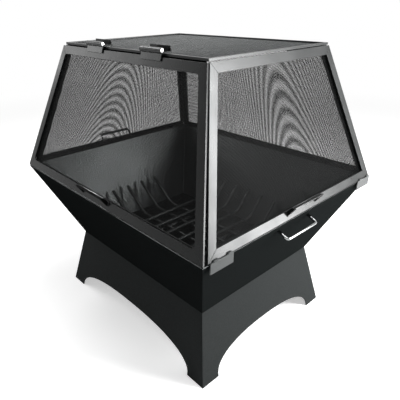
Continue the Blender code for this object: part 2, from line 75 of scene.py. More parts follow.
def add_node(tree, kind, settings=None, **sockets):
    """Add a node, set its properties, and fill its sockets with values or with other nodes' outputs.

    A socket's name is written in lower case with _ for each space, and _0 or _1 picks one by its number.
    A colour Mix node has its factor at _0 and its two colours at _6 and _7.
    """
    node = tree.nodes.new(kind)
    for name, value in (settings or {}).items():
        setattr(node, name, value)
    for name, value in sockets.items():
        if name[0] == "_":
            socket = node.inputs[int(name[1:])]
        else:
            socket = next(s for s in node.inputs if s.name.lower().replace(" ", "_") == name and s.enabled)
        if isinstance(value, bpy.types.NodeSocket):
            tree.links.new(value, socket)
        else:
            socket.default_value = value
    return node


def new_material(name):
    """An empty node material with its output, and the coordinates of the object in metres."""
    material = bpy.data.materials.new(name)
    material.use_nodes = True
    tree = material.node_tree
    tree.nodes.clear()
    output = tree.nodes.new("ShaderNodeOutputMaterial")
    place = tree.nodes.new("ShaderNodeTexCoord").outputs["Object"]
    return material, tree, output, place


# A noise node gives 0 to 1, but nearly all of it lies between these two, so ranges start and end there.
NOISE_LOW = 0.3
NOISE_HIGH = 0.7


def per_metre(millimetres):
    """The scale that makes one cycle of a noise as wide as a real size in millimetres."""
    return 1000 / millimetres


print("a grain of 2 mm needs a scale of", per_metre(2))

# %% [markdown]
# ## Heat-proof black paint on sheet steel
# The base and the bowl are welded from 3 mm steel sheet and sprayed with matt stove paint: black pigment
# and some graphite in a silicone resin, which dries as a fine pebbled skin. It has no gloss coat, so the
# shader gets no specular layer. Faces that look upwards, the bowl's inside and the base's sloping outside,
# are painted a lighter colour with a soft metal gleam, and faces that look down stay matt black. That is
# painted light: a painted sheen on the upward faces and painted shade on the rest, and the height of the
# normal tells them apart. It can, because these plates never turn. The alternative is to paint a mask by
# hand, which a mesh without a flat layout would make slow.

# %% Stove paint
MATT_BLACK = "#161818"
# The spray lies a little thicker in patches about a hand wide, and is cloudy there.
CLOUD_MM = 90
# The real pebble is about 0.5 mm wide and the specks of pigment are finer. Both are drawn as coarse as they
# need to be to show at this distance.
PEBBLE_MM = 6
SPECK_MM = 5


def stove_paint(name, colour, roughness, sheen_metallic, lowest_normal, pebble_height_mm):
    """Matt black paint with painted light: another colour and gleam where the normal's height is over
    lowest_normal.
    """
    material, tree, output, place = new_material(name)
    cloud = add_node(
        tree, "ShaderNodeTexNoise", vector=place, scale=per_metre(CLOUD_MM), detail=3.0, roughness=0.55
    )
    pebble = add_node(
        tree, "ShaderNodeTexNoise", vector=place, scale=per_metre(PEBBLE_MM), detail=2.0, roughness=0.5
    )
    speck = add_node(tree, "ShaderNodeTexNoise", vector=place, scale=per_metre(SPECK_MM), detail=1.0)
    dull = add_node(
        tree,
        "ShaderNodeMapRange",
        value=cloud.outputs["Fac"],
        from_min=NOISE_LOW,
        from_max=NOISE_HIGH,
        to_min=roughness - 0.015,
        to_max=roughness + 0.025,
    )
    shade = add_node(
        tree,
        "ShaderNodeMapRange",
        value=speck.outputs["Fac"],
        from_min=0.35,
        from_max=0.65,
        to_min=0.93,
        to_max=1.08,
    )
    # Faces that look upwards get another colour and a metal gleam: painted light set by facing.
    facing = tree.nodes.new("ShaderNodeNewGeometry").outputs["Normal"]
    height = add_node(tree, "ShaderNodeSeparateXYZ", vector=facing)
    painted_light_mask = add_node(
        tree,
        "ShaderNodeMapRange",
        value=height.outputs["Z"],
        from_min=lowest_normal - 0.1,
        from_max=lowest_normal,
    )
    pigment = add_node(
        tree,
        "ShaderNodeMix",
        {"data_type": "RGBA"},
        _0=painted_light_mask.outputs["Result"],
        _6=linear(MATT_BLACK),
        _7=linear(colour),
    )
    tint = add_node(
        tree,
        "ShaderNodeMix",
        {"data_type": "RGBA", "blend_type": "MULTIPLY"},
        _0=1.0,
        _6=pigment.outputs[2],
        _7=shade.outputs["Result"],
    )
    painted_sheen = add_node(
        tree, "ShaderNodeMath", {"operation": "MULTIPLY"}, _0=painted_light_mask.outputs["Result"], _1=sheen_metallic
    )
    bump = add_node(
        tree,
        "ShaderNodeBump",
        height=pebble.outputs["Fac"],
        distance=pebble_height_mm * MM,
        strength=1.0,
    )
    shader = add_node(
        tree,
        "ShaderNodeBsdfPrincipled",
        base_color=tint.outputs[2],
        metallic=painted_sheen.outputs["Value"],
        roughness=dull.outputs["Result"],
        normal=bump.outputs["Normal"],
        specular_ior_level=0.0,
    )
    tree.links.new(shader.outputs["BSDF"], output.inputs["Surface"])
    return material


# %% The base's, the bowl's and the floor plate's paint
# The base's upward faces are painted a little lighter, with a trace of painted metal sheen.
base_paint = stove_paint("base_stove_paint", "#2c2e2e", 0.42, 0.1, 0.0, 0.03)
# The bowl's upward faces, its inside, are painted lighter and half metallic as a painted sheen, and its
# outside stays black.
bowl_paint = stove_paint("bowl_stove_paint", "#4c4e4e", 0.3, 0.8, 0.2, 0.02)
# The floor plate's top is painted darker than the black paint: painted shade at the bottom of the bowl.
painted_shade_black = stove_paint("bowl_floor_paint", "#0a0b0b", 0.7, 0.05, 0.2, 0.03)
print("paints", base_paint.name, bowl_paint.name, painted_shade_black.name)

# %% [markdown]
# ## Satin grey-black enamel on flat bar
# The screen's frames are welded from 25 x 6 mm flat bar. The mill leaves fine lines along each bar, and a
# thin coat of satin enamel softens them but doesn't hide them, so a bar catches light as a streak. Each bar
# object carries the direction of its own grain as a property, and one material reads it: distances along
# the grain are shrunk before the noise is looked up, which draws each speck out into a line. The door and
# its handle are painted darker, as painted shade on the side that faces away from the lamps, and the handles
# are glossier. The clips, the lips of the screen's handles and the top net's wires are painted lighter and
# more metallic, as painted light. So one function makes them all from a colour, a roughness, a share of bare
# metal and a strength of gloss.

# %% Stretch a noise along the grain
GRAIN_STRETCH = 30


def along_grain(tree, place, stretch):
    """Coordinates in which a distance along the object's own grain counts for less."""
    grain = add_node(
        tree, "ShaderNodeAttribute", {"attribute_type": "OBJECT", "attribute_name": "grain"}
    ).outputs["Vector"]
    along = add_node(tree, "ShaderNodeVectorMath", {"operation": "DOT_PRODUCT"}, _0=place, _1=grain)
    part = add_node(
        tree,
        "ShaderNodeMath",
        {"operation": "MULTIPLY"},
        _0=along.outputs["Value"],
        _1=1 - 1 / stretch,
    )
    shift = add_node(
        tree, "ShaderNodeVectorMath", {"operation": "SCALE"}, _0=grain, scale=part.outputs["Value"]
    )
    moved = add_node(
        tree, "ShaderNodeVectorMath", {"operation": "SUBTRACT"}, _0=place, _1=shift.outputs["Vector"]
    )
    return moved.outputs["Vector"]


print("grain is drawn out", GRAIN_STRETCH, "times")

# %% Enamel over mill grain
ENAMEL_CLOUD_MM = 60


def bar_enamel(name, colour, roughness, metallic, specular, grain_mm, grain_height_mm):
    """Thin satin enamel over the lines that the mill leaves along a flat bar."""
    material, tree, output, place = new_material(name)
    drawn = along_grain(tree, place, GRAIN_STRETCH)
    lines = add_node(
        tree, "ShaderNodeTexNoise", vector=drawn, scale=per_metre(grain_mm), detail=3.0, roughness=0.6
    )
    cloud = add_node(tree, "ShaderNodeTexNoise", vector=place, scale=per_metre(ENAMEL_CLOUD_MM), detail=2.0)
    dull = add_node(
        tree,
        "ShaderNodeMapRange",
        value=cloud.outputs["Fac"],
        from_min=NOISE_LOW,
        from_max=NOISE_HIGH,
        to_min=roughness - 0.03,
        to_max=roughness + 0.05,
    )
    shade = add_node(
        tree,
        "ShaderNodeMapRange",
        value=lines.outputs["Fac"],
        from_min=NOISE_LOW,
        from_max=NOISE_HIGH,
        to_min=0.85,
        to_max=1.15,
    )
    tint = add_node(
        tree,
        "ShaderNodeMix",
        {"data_type": "RGBA", "blend_type": "MULTIPLY"},
        _0=1.0,
        _6=linear(colour),
        _7=shade.outputs["Result"],
    )
    bump = add_node(
        tree,
        "ShaderNodeBump",
        height=lines.outputs["Fac"],
        distance=grain_height_mm * MM,
        strength=1.0,
    )
    shader = add_node(
        tree,
        "ShaderNodeBsdfPrincipled",
        base_color=tint.outputs[2],
        metallic=metallic,
        roughness=dull.outputs["Result"],
        normal=bump.outputs["Normal"],
        specular_ior_level=specular,
    )
    tree.links.new(shader.outputs["BSDF"], output.inputs["Surface"])
    return material


# %% The enamels of the frames, handles, clips, hinges and wires
# Each has its colour, roughness, share of bare metal, gloss, and the width and height of its grain in
# millimetres. Real mill lines are about 0.3 mm wide, and these are as coarse as they need to be to show.
frame_enamel = bar_enamel("frame_satin_enamel", "#1e2020", 0.3, 0.2, 0.35, 1.6, 0.012)
# The door is painted darker than the frames: painted shade on the side away from the lamps.
door_shaded_enamel = bar_enamel("door_satin_enamel", "#121414", 0.26, 0.1, 0.22, 1.6, 0.012)
handle_enamel = bar_enamel("handle_gloss_enamel", "#0c0e0e", 0.18, 0.1, 0.3, 1.6, 0.008)
# The door's handle is a near-black, dull copy of the handle enamel: painted shade on its flanges.
door_handle_enamel = bar_enamel("door_handle_enamel", "#070808", 0.4, 0.0, 0.04, 1.6, 0.008)
# The clips, their welds and the lips of the screen's handles take a lighter, half bare copy: painted light.
clip_painted_light_enamel = bar_enamel("clip_worn_enamel", "#3e4040", 0.38, 0.5, 0.3, 0.8, 0.012)
hinge_enamel = bar_enamel("hinge_satin_enamel", "#181a1a", 0.26, 0.3, 0.35, 0.6, 0.01)
wire_enamel = bar_enamel("net_wire_enamel", "#0a0b0b", 0.35, 0.0, 0.06, 0.5, 0.004)
# The top net's wires are painted lighter than the others: painted light from above.
top_wire_painted_light = bar_enamel("top_net_wire_enamel", "#4a4c4c", 0.4, 0.5, 0.5, 0.5, 0.004)
print("enamels", frame_enamel.name, door_shaded_enamel.name, hinge_enamel.name, wire_enamel.name)

# %% [markdown]
# ## Bare bars: the log grate, the pins and the polished handles
# The grate is cut from hot-rolled round bar and has a blue-black scale, which is blotchier than paint and
# greyer where it has flaked. The hinge pins are turned bright steel. The lifting handles on the bowl are
# polished rod, almost a mirror, with faint lines round them from the polishing belt.

# %% Hot-rolled bar
FLAKED_SCALE = "#4a4c4c"
BLOTCH_MM = 14
PIT_MM = 1.2
PIT_DEPTH_MM = 0.04


def rolled_bar(name, colour, roughness):
    """Hot-rolled steel with its mill scale: dark, blotchy and a little metallic."""
    material, tree, output, place = new_material(name)
    blotch = add_node(
        tree, "ShaderNodeTexNoise", vector=place, scale=per_metre(BLOTCH_MM), detail=5.0, roughness=0.6
    )
    pits = add_node(tree, "ShaderNodeTexNoise", vector=place, scale=per_metre(PIT_MM), detail=2.0)
    tone = add_node(
        tree,
        "ShaderNodeMix",
        {"data_type": "RGBA"},
        _0=blotch.outputs["Fac"],
        _6=linear(colour),
        _7=linear(FLAKED_SCALE),
    )
    dull = add_node(
        tree,
        "ShaderNodeMapRange",
        value=blotch.outputs["Fac"],
        from_min=NOISE_LOW,
        from_max=NOISE_HIGH,
        to_min=roughness - 0.08,
        to_max=roughness + 0.1,
    )
    bump = add_node(
        tree, "ShaderNodeBump", height=pits.outputs["Fac"], distance=PIT_DEPTH_MM * MM, strength=1.0
    )
    shader = add_node(
        tree,
        "ShaderNodeBsdfPrincipled",
        base_color=tone.outputs[2],
        metallic=0.4,
        roughness=dull.outputs["Result"],
        normal=bump.outputs["Normal"],
        specular_ior_level=0.25,
    )
    tree.links.new(shader.outputs["BSDF"], output.inputs["Surface"])
    return material


grate_scale = rolled_bar("grate_mill_scale", "#181a1a", 0.2)
print("scale", grate_scale.name)

# %% Turned pin and polished rod


def bright_steel(name, colour, roughness, line_mm, line_height_mm):
    """Turned or polished steel: a mirror with fine lines round the rod."""
    material, tree, output, place = new_material(name)
    lines = add_node(
        tree, "ShaderNodeTexNoise", vector=place, scale=per_metre(line_mm), detail=2.0, roughness=0.5
    )
    dull = add_node(
        tree,
        "ShaderNodeMapRange",
        value=lines.outputs["Fac"],
        from_min=NOISE_LOW,
        from_max=NOISE_HIGH,
        to_min=roughness * 0.8,
        to_max=roughness * 1.3,
    )
    bump = add_node(
        tree,
        "ShaderNodeBump",
        height=lines.outputs["Fac"],
        distance=line_height_mm * MM,
        strength=1.0,
    )
    shader = add_node(
        tree,
        "ShaderNodeBsdfPrincipled",
        base_color=linear(colour),
        metallic=1.0,
        roughness=dull.outputs["Result"],
        normal=bump.outputs["Normal"],
    )
    tree.links.new(shader.outputs["BSDF"], output.inputs["Surface"])
    return material


# The lines of a polishing belt are finer than 0.1 mm, and are drawn coarser here so that they show. The rod
# is a little darker than polished steel measures, since a lighter one loses its roundness in a white room.
polished_rod = bright_steel("polished_rod", "#8e9090", 0.09, 0.7, 0.0015)
turned_pin = bright_steel("turned_pin_steel", "#c8c8c8", 0.25, 0.3, 0.002)
print("metals", polished_rod.name, turned_pin.name)

# %% [markdown]
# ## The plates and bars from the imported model
# Their shape is right, but every edge is mathematically sharp, and a real edge is a small rounding that
# catches a thread of light. The vertices of each face came in split from their neighbours, so a Weld
# modifier joins them first. Bevel then rounds the edges, and Weighted Normal keeps the big faces flat while
# the light turns only across the rounding. Modifiers leave the mesh itself as it was packed, and the finish
# goes into the one material slot that each plate and bar already has.

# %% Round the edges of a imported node
SPLIT_CORNER = 0.01 * MM
EDGE_SEGMENTS = 2
SHARP_ANGLE = math.radians(35)


def directions_of(points):
    """Three directions in which points spread least, more and most, one to a column."""
    return np.linalg.eigh(np.cov((points - points.mean(axis=0)).T))[1]


def points_of(node):
    """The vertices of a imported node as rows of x, y and z."""
    return np.array([vertex.co for vertex in node.data.vertices])


def dress(node, material, edge_mm):
    """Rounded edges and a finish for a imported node."""
    node.material_slots[0].material = material
    weld = node.modifiers.new("join_split_corners", "WELD")
    weld.merge_threshold = SPLIT_CORNER
    bevel = node.modifiers.new("rounded_edges", "BEVEL")
    bevel.width = edge_mm * MM
    bevel.segments = EDGE_SEGMENTS
    bevel.limit_method = "ANGLE"
    bevel.angle_limit = SHARP_ANGLE
    node.modifiers.new("flat_faces", "WEIGHTED_NORMAL")
    node["grain"] = Vector(directions_of(points_of(node))[:, 2])


print("edges get", EDGE_SEGMENTS, "segments")

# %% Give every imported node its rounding, its grain and its finish
# By the first word of a node's name: its finish, and the radius of its edges in millimetres.
finishes = {
    "base": (base_paint, 0.5),
    "bowl": (bowl_paint, 0.5),
    "screen": (frame_enamel, 0.6),
    "clip": (clip_painted_light_enamel, 0.4),
    "door": (door_shaded_enamel, 0.6),
    "hinge": (hinge_enamel, 0.25),
    "grate": (grate_scale, 0.8),
}
# By the last word, and for two nodes by the whole name, another finish.
last_word_finishes = {"pin": turned_pin, "handle": handle_enamel}
own_finishes = {"bowl_floor": painted_shade_black, "door_handle": door_handle_enamel}
for name, node in nodes.items():
    words = name.split("_")
    material, edge_mm = finishes[words[0]]
    material = last_word_finishes.get(words[-1], material)
    material = own_finishes.get(name, material)
    dress(node, material, edge_mm)
print("dressed", len(nodes), "nodes")

# %% [markdown]
# ## Wire nets
# A spark screen is a fine steel net with openings small enough to stop embers. Here it is straight wires in
# two layers, welded where they cross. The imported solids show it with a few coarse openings. A picture of a
# net on a flat sheet would lose the two layers, their shadows and the shimmer where one net is seen through
# another, so every wire is modelled, as a thin six-sided rod. A straight rod needs few faces, so thousands
# of them stay light. Each net is laid out in the plane of the solid that it stands for, on its outline.

# %% Measure the flat outline of a net's solid
SCREEN_MIDDLE = Vector((0, 0, 0.7))
SAME_EDGE = 0.1 * MM


def net_plane(node_name, up_hint):
    """Across, up and outward directions of a flat net, and its edges as distances along them."""
    points = points_of(nodes[node_name])
    outward = Vector(directions_of(points)[:, 0])
    if outward.dot(Vector(points.mean(axis=0)) - SCREEN_MIDDLE) < 0:
        outward = -outward
    across = Vector(up_hint).cross(outward).normalized()
    up = outward.cross(across).normalized()
    axes = np.array([across, up, outward])
    local = points @ axes.T
    low, high = local[:, 1].min(), local[:, 1].max()
    at_low = local[local[:, 1] < low + SAME_EDGE]
    at_high = local[local[:, 1] > high - SAME_EDGE]
    edges = {
        "low": low,
        "high": high,
        "left": (at_low[:, 0].min(), at_high[:, 0].min()),
        "right": (at_low[:, 0].max(), at_high[:, 0].max()),
        "outer": local[:, 2].max(),
    }
    return axes, edges


print("door net", net_plane("door_net", (0, 0, 1))[1])

# %% Where each wire starts and ends
# A real spark net has a wire about every 2 mm. These are as coarse as they need to be to show.
WIRE_PITCH = 3.1 * MM
SHORTEST_WIRE = 0.01


def crossing(value, at_low, at_high):
    """How far up, from 0 to 1, a slanted edge passes a distance across."""
    return (value - at_low) / (at_high - at_low)


def wire_runs(edges):
    """Both ends of every wire as across, up and layer, clipped to the net's outline."""
    low, high = edges["low"], edges["high"]
    (left_low, left_high), (right_low, right_high) = edges["left"], edges["right"]
    runs = []
    height = high - low
    rows = int(height / WIRE_PITCH)
    first = low + (height - (rows - 1) * WIRE_PITCH) / 2
    for row in range(rows):
        up = first + row * WIRE_PITCH
        t = (up - low) / height
        left = left_low + (left_high - left_low) * t
        right = right_low + (right_high - right_low) * t
        runs.append(((left, up, 0), (right, up, 0)))
    middle = (left_low + right_low) / 2
    columns = int((right_low - left_low) / 2 / WIRE_PITCH)
    for column in range(-columns, columns + 1):
        across = middle + column * WIRE_PITCH
        top = 1.0
        if across < left_high:
            top = crossing(across, left_low, left_high)
        elif across > right_high:
            top = crossing(across, right_low, right_high)
        if top > SHORTEST_WIRE:
            runs.append(((across, low, 1), (across, low + height * top, 1)))
    return runs


print("door net needs", len(wire_runs(net_plane("door_net", (0, 0, 1))[1])), "wires")

# %% Make a net of straight wires in two layers
WIRE_DIAMETER = 0.92 * MM
# The top net is seen at a low angle, where its wires close up, so they are drawn thinner. Its wires are
# painted lighter and half metallic, as painted light from the lamps above.
TOP_WIRE_DIAMETER = 0.6 * MM
WIRE_SIDES = 6
# The welds press the two layers together, so the second lies less than a diameter under the first.
LAYER_STEP = 0.95
WIRE_SHARP_ANGLE = math.radians(70)


def wire_net(name, node_name, body, up_hint, diameter=WIRE_DIAMETER, material=wire_enamel):
    """All the wires of one net as one mesh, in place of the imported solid."""
    axes, edges = net_plane(node_name, up_hint)
    outer_layer = edges["outer"] - diameter / 2
    depth = [outer_layer, outer_layer - diameter * LAYER_STEP]
    verts = []
    faces = []
    angles = np.arange(WIRE_SIDES) * 2 * math.pi / WIRE_SIDES
    ring = np.stack([np.cos(angles), np.sin(angles)], axis=1) * diameter / 2
    runs = wire_runs(edges)
    for start, end in runs:
        layer = start[2]
        base = len(verts)
        for point in (start, end):
            for side, out in ring:
                flat = (point[0], point[1] + side) if layer == 0 else (point[0] + side, point[1])
                verts.append((*flat, depth[layer] + out))
        for i in range(WIRE_SIDES):
            j = (i + 1) % WIRE_SIDES
            face = (base + i, base + j, base + WIRE_SIDES + j, base + WIRE_SIDES + i)
            faces.append(face if layer else face[::-1])
        cap = [base + i for i in range(WIRE_SIDES)]
        far_cap = [base + WIRE_SIDES + i for i in range(WIRE_SIDES)]
        faces.append(cap[::-1] if layer else cap)
        faces.append(far_cap if layer else far_cap[::-1])
    mesh = bpy.data.meshes.new(name)
    mesh.from_pydata((np.array(verts) @ axes).tolist(), [], faces)
    mesh.update()
    mesh.shade_smooth()
    mesh.set_sharp_from_angle(angle=WIRE_SHARP_ANGLE)
    net = bpy.data.objects.new(name, mesh)
    bpy.context.scene.collection.objects.link(net)
    net["grain"] = Vector((0, 0, 1))
    mesh.materials.append(material)
    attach(net, body)
    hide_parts(node_name)
    print(name, "has", len(runs), "wires")
    return net


for side in ("right", "back", "left"):
    wire_net(f"{side}_wire_net", f"screen_{side}_net", "screen", (0, 0, 1))
wire_net("door_wire_net", "door_net", "door", (0, 0, 1))
wire_net("top_wire_net", "screen_top_net", "screen", (1, 0, 0), TOP_WIRE_DIAMETER, top_wire_painted_light)

# %% [markdown]
# ## Round bars with smooth bends
# The grate and the lifting handles are bent from round bar. A bar bent round a former has an even bend, and
# its sawn ends are filed to a small chamfer. A curve with a round bevel gives exactly that: the bend is a
# row of points along a smooth arc, and a smaller radius at the very ends is the chamfer.

# %% A path with smooth bends
BEND_STEPS = 12


def bent_path(corners, reach):
    """A path with each inner corner drawn as a smooth bend that starts reach before it."""
    path = [Vector(corners[0])]
    for before, corner, after in zip(corners, corners[1:], corners[2:]):
        corner = Vector(corner)
        start = corner + (Vector(before) - corner).normalized() * reach
        end = corner + (Vector(after) - corner).normalized() * reach
        for step in range(BEND_STEPS + 1):
            t = step / BEND_STEPS
            path.append(start * (1 - t) ** 2 + corner * 2 * t * (1 - t) + end * t**2)
    path.append(Vector(corners[-1]))
    return path


print("a bend has", BEND_STEPS, "steps")

# %% A round bar along a path
BAR_ROUNDNESS = 5


def round_bar(name, path, radius, chamfer, material, body, resolution=BAR_ROUNDNESS):
    """A round bar along a path, with chamfered ends."""
    curve = bpy.data.curves.new(name, "CURVE")
    curve.dimensions = "3D"
    curve.bevel_depth = radius
    curve.bevel_resolution = resolution
    curve.use_fill_caps = True
    near = path[0].lerp(path[1], chamfer / (path[1] - path[0]).length)
    far = path[-1].lerp(path[-2], chamfer / (path[-2] - path[-1]).length)
    points = [path[0], near, *path[1:-1], far, path[-1]]
    spline = curve.splines.new("POLY")
    spline.points.add(len(points) - 1)
    for point, position in zip(spline.points, points):
        point.co = (*position, 1)
    end_radius = 1 - chamfer / radius
    spline.points[0].radius = end_radius
    spline.points[-1].radius = end_radius
    curve.materials.append(material)
    bar = bpy.data.objects.new(name, curve)
    bpy.context.scene.collection.objects.link(bar)
    bar["grain"] = (path[1] - path[0]).normalized()
    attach(bar, body)
    return bar


print("a round bar has a bevel resolution of", BAR_ROUNDNESS)

# %% Bend the grate's bars in the place of their solids
LONG_BARS = range(1, 5)
CROSS_BARS = range(1, 7)
GRATE_BEND = 20 * MM
GRATE_CHAMFER = 1.2 * MM
LONG_BAR_BEND = 232 * MM
CROSS_BAR_BEND = 224 * MM


def grate_bar(node_name, along, bend_at):
    """One bar with upturned ends; along is 0 for a bar that runs in X and 1 for one in Y."""
    low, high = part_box(node_name)
    across = 1 - along
    radius = (high[across] - low[across]) / 2
    centre = (low + high) / 2
    tip = (high[along] - low[along]) / 2
    rise = math.atan2(high.z - low.z, tip - bend_at)
    flat_z = low.z + radius
    tip_z = high.z - radius * math.cos(rise)
    reach = tip - radius * math.sin(rise)
    corners = []
    for distance, z in ((-reach, tip_z), (-bend_at, flat_z), (bend_at, flat_z), (reach, tip_z)):
        point = Vector(centre)
        point[along] += distance
        point.z = z
        corners.append(point)
    path = bent_path(corners, GRATE_BEND)
    name = node_name.replace("grate_", "").replace("bar", "grate_bar")
    bar = round_bar(name, path, radius, GRATE_CHAMFER, grate_scale, "grate")
    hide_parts(node_name)
    return bar


for number in LONG_BARS:
    grate_bar(f"grate_long_bar_{number}", 1, LONG_BAR_BEND)
for number in CROSS_BARS:
    grate_bar(f"grate_cross_bar_{number}", 0, CROSS_BAR_BEND)
print("bent", len(LONG_BARS) + len(CROSS_BARS), "grate bars")

# %% [markdown]
# ## Polished handles
# Each end of the bowl has a lifting handle of bright rod. It stands square to the sloping wall, so its plane
# leans as the wall does. The path needs only four corners in that plane: out from the wall, along, and
# back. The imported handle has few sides, which a mirror finish would show, so a rounder one stands for it.

# %% The sloping wall's directions, and a handle on each end
NECK_HALF = Vector((257.5, 321.0)) * MM
NECK_Z = 222 * MM
RIM_HALF = Vector((381.0, 443.5)) * MM
RIM_Z = 495.5 * MM
BOWL_X = (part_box("bowl_floor")[0].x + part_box("bowl_floor")[1].x) / 2
HANDLE_DROP = 24 * MM
HANDLE_REACH = 33.9 * MM
HANDLE_RADIUS = 4 * MM
HANDLE_BEND = 10 * MM
HANDLE_LIFT = 0.3 * MM
HANDLE_CHAMFER = 0.2 * MM
HANDLE_ROUNDNESS = 8


def bowl_handle(side, sign):
    """A bright rod handle on the end wall at +Y (sign 1) or -Y (sign -1)."""
    node_name = f"bowl_{side}_handle"
    low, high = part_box(node_name)
    up = Vector((0, sign * (RIM_HALF.y - NECK_HALF.y), RIM_Z - NECK_Z)).normalized()
    outward = Vector((0, sign * up.z, -sign * up.y))
    foot = Vector((0, sign * RIM_HALF.y, RIM_Z)) - up * HANDLE_DROP
    ends = (low.x + HANDLE_RADIUS, high.x - HANDLE_RADIUS)
    corners = []
    for x, out in ((0, HANDLE_LIFT), (0, HANDLE_REACH), (1, HANDLE_REACH), (1, HANDLE_LIFT)):
        corners.append(Vector((ends[x], foot.y, foot.z)) + outward * out)
    path = bent_path(corners, HANDLE_BEND)
    name = f"polished_{side}_handle"
    handle = round_bar(
        name,
        path,
        HANDLE_RADIUS,
        HANDLE_CHAMFER,
        polished_rod,
        "base",
        HANDLE_ROUNDNESS,
    )
    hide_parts(node_name)
    return corners[0], corners[-1], outward


handle_feet = {side: bowl_handle(side, sign) for side, sign in (("right", -1), ("left", 1))}
print("handle feet", [round(value, 3) for value in handle_feet["right"][0]])

# %% [markdown]
# ## Rolled lips of the lifting handles
# The sheet handles on the screen and the door have no sharp edge towards the fingers: the inner edge of the
# grip is rolled over. On the door the roll is bright steel, and on the screen it takes the clips' lighter
# enamel:
# a painted highlight, the bright thread that light draws along the edge. It could be a band of colour in the
# paint, but a thin rod along the edge also rounds the outline.

# %% A rolled lip on each sheet handle
# A lip follows the top of the grip, whose faces look upwards more than any other of the handle.
LIP_RADIUS = 1.2 * MM
LIP_CHAMFER = 0.5 * MM
LIP_END_GAP = 5 * MM
UPWARD = 0.9
# The lip's bright steel is a painted highlight.
lip_painted_highlight = bright_steel("worn_lip_steel", "#a6a8a8", 0.22, 0.7, 0.002)


def rolled_lip(name, node_name, material, body):
    """A thin rod along the inner edge of a handle's grip."""
    mesh = nodes[node_name].data
    tops = [face for face in mesh.polygons if face.normal.z > UPWARD]
    corners = np.array([mesh.vertices[corner].co for face in tops for corner in face.vertices])
    extent = np.ptp(corners, axis=0)
    along = int(extent[1] > extent[0])
    across = 1 - along
    inner = corners[np.argmin(np.abs(corners[:, across]))]
    path = []
    for end in (corners[:, along].min() + LIP_END_GAP, corners[:, along].max() - LIP_END_GAP):
        point = Vector(inner)
        point[along] = end
        path.append(point)
    return round_bar(name, path, LIP_RADIUS, LIP_CHAMFER, material, body)


lips = [
    rolled_lip("door_handle_lip", "door_handle", lip_painted_highlight, "door"),
    rolled_lip("right_handle_lip", "screen_right_handle", clip_painted_light_enamel, "screen"),
    rolled_lip("left_handle_lip", "screen_left_handle", clip_painted_light_enamel, "screen"),
]
for lip in lips:
    print(lip.name, [round(value, 4) for point in lip.data.splines[0].points for value in point.co[:3]])

# %% [markdown]
# ## Weld beads
# Everything on the screen is joined by short arc welds, painted over with the rest. A bead is a row of
# overlapping drops, so it swells and narrows as it goes and is round at both ends. Here a bead is a tube
# along a straight run, whose radius ripples and falls away at the ends as a ball's does. It could be
# painted on as bump, but then the outline would stay flat. Many beads share one mesh.

# %% A rippled bead of weld between two points
RIPPLE = 2.2 * MM
RIPPLE_DEPTH = 0.13
RINGS_PER_RIPPLE = 10 / 3
FEWEST_RINGS = 10
SMALLEST_RING = 0.02
BEAD_SIDES = 10


def bead_rings(start, end, radius):
    """Centres and radii of a bead's rings, from one round end to the other."""
    length = (end - start).length
    steps = max(FEWEST_RINGS, int(length * RINGS_PER_RIPPLE / RIPPLE))
    rings = []
    for step in range(steps + 1):
        distance = length * step / steps
        to_end = min(distance, length - distance) / radius
        swell = math.sqrt(max(0.0, 1 - (1 - min(to_end, 1.0)) ** 2))
        ripple = 1 + RIPPLE_DEPTH * math.sin(2 * math.pi * distance / RIPPLE)
        rings.append((start.lerp(end, step / steps), radius * max(swell * ripple, SMALLEST_RING)))
    return rings


def weld_beads(name, runs, material, body):
    """One mesh that holds a bead for each (start, end, radius) in runs."""
    verts = []
    faces = []
    for start, end, radius in runs:
        along = (end - start).normalized()
        side = along.orthogonal().normalized()
        other = along.cross(side)
        first = len(verts)
        rings = bead_rings(start, end, radius)
        for centre, ring_radius in rings:
            for i in range(BEAD_SIDES):
                angle = 2 * math.pi * i / BEAD_SIDES
                verts.append(centre + (side * math.cos(angle) + other * math.sin(angle)) * ring_radius)
        for ring in range(len(rings) - 1):
            for i in range(BEAD_SIDES):
                j = (i + 1) % BEAD_SIDES
                low = first + ring * BEAD_SIDES
                high = low + BEAD_SIDES
                faces.append((low + i, low + j, high + j, high + i))
        last = first + (len(rings) - 1) * BEAD_SIDES
        faces.append([first + i for i in reversed(range(BEAD_SIDES))])
        faces.append([last + i for i in range(BEAD_SIDES)])
    mesh = bpy.data.meshes.new(name)
    mesh.from_pydata(verts, [], faces)
    mesh.update()
    mesh.shade_smooth()
    mesh.materials.append(material)
    beads = bpy.data.objects.new(name, mesh)
    bpy.context.scene.collection.objects.link(beads)
    beads["grain"] = Vector((0, 0, 1))
    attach(beads, body)
    print(name, "holds", len(runs), "beads")
    return beads


# %% Welds of the clips
CLIP_BEAD = 3.2 * MM
CLIP_BEADS_AT = ((9 * MM, 28 * MM), (56 * MM, 72 * MM))
CLIP_BEAD_OUT = 0.8 * MM
CLIP_BEAD_LIFT = 0.6 * MM

clip_runs = []
for side, sign in (("right", -1), ("left", 1)):
    for end in ("front", "back"):
        low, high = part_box(f"clip_{side}_{end}")
        y = sign * (min(abs(low.y), abs(high.y)) + CLIP_BEAD_OUT)
        for near, far in CLIP_BEADS_AT:
            start = Vector((low.x + near, y, high.z + CLIP_BEAD_LIFT))
            clip_runs.append((start, start + Vector((far - near, 0, 0)), CLIP_BEAD))
# The clips' welds take the same lighter enamel, which is painted light as well.
weld_beads("clip_welds", clip_runs, clip_painted_light_enamel, "screen")

# %% Welds of the sheet handles' tabs
SCREEN_LOW_Z = 499 * MM
SCREEN_HIGH_Z = 908 * MM
RING_HALF = Vector((241.0, 316.0)) * MM
DOOR_PROUD = 5 * MM
TAB_HALF = 67 * MM
TAB_BASE = (10 * MM, 24.5 * MM)
TAB_BEAD = 1.7 * MM
TAB_BEAD_OUT = 0.4 * MM
DOOR_LOW = 1 * MM


